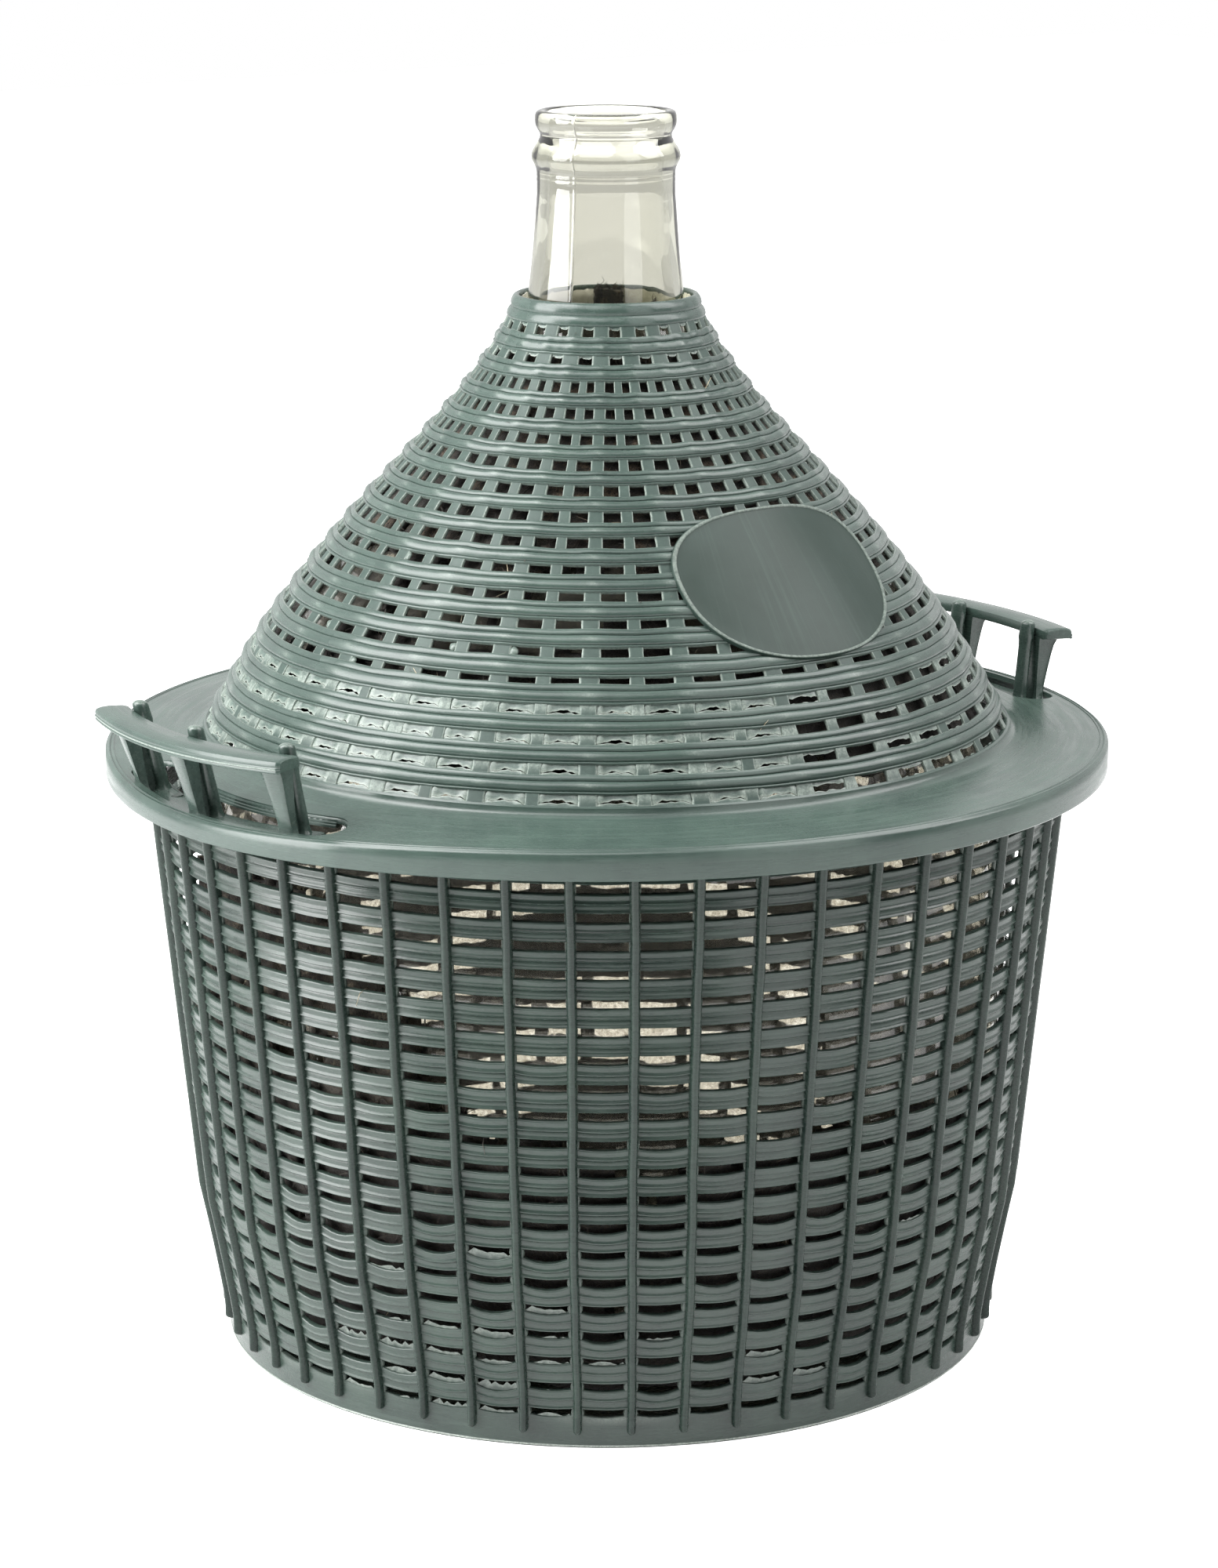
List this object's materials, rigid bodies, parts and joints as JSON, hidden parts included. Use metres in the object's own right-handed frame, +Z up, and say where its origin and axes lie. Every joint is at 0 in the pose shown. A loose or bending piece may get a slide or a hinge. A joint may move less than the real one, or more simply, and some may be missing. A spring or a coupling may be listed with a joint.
{
  "type": "demijohn",
  "caption": "Large clear glass demijohn in an openwork plastic basket with handles, fibre padding and a conical perforated lid over its shoulder.",
  "frame": {"origin": "middle of the foot, on the surface that the basket stands on", "axes": "+Z up along the neck; the handles lie on +X and -X; the blank label plate on the lid faces -Y"},
  "size_m": [0.409, 0.3986, 0.4911],
  "materials": {
    "green_plastic": "moulded grey-green polyethylene, semi-gloss",
    "clear_glass": "clear blown soda glass with a faint warm tint",
    "brown_fibre": "loose dark brown fibre wadding"
  },
  "bodies": {
    "basket": {"basket": "green_plastic", "handle_left": "green_plastic", "handle_right": "green_plastic"},
    "bottle": {"glass_balloon": "clear_glass", "fibre_padding": "brown_fibre"},
    "lid": {"lid": "green_plastic", "label_plate": "green_plastic"}
  },
  "joints": [
    {"name": "bottle_lift", "type": "slide", "parent": "basket", "child": "bottle", "axis": [0, 0, 1], "range_m": [0, 0.3]},
    {"name": "lid_lift", "type": "slide", "parent": "bottle", "child": "lid", "axis": [0, 0, 1], "range_m": [0, 0.27]}
  ]
}
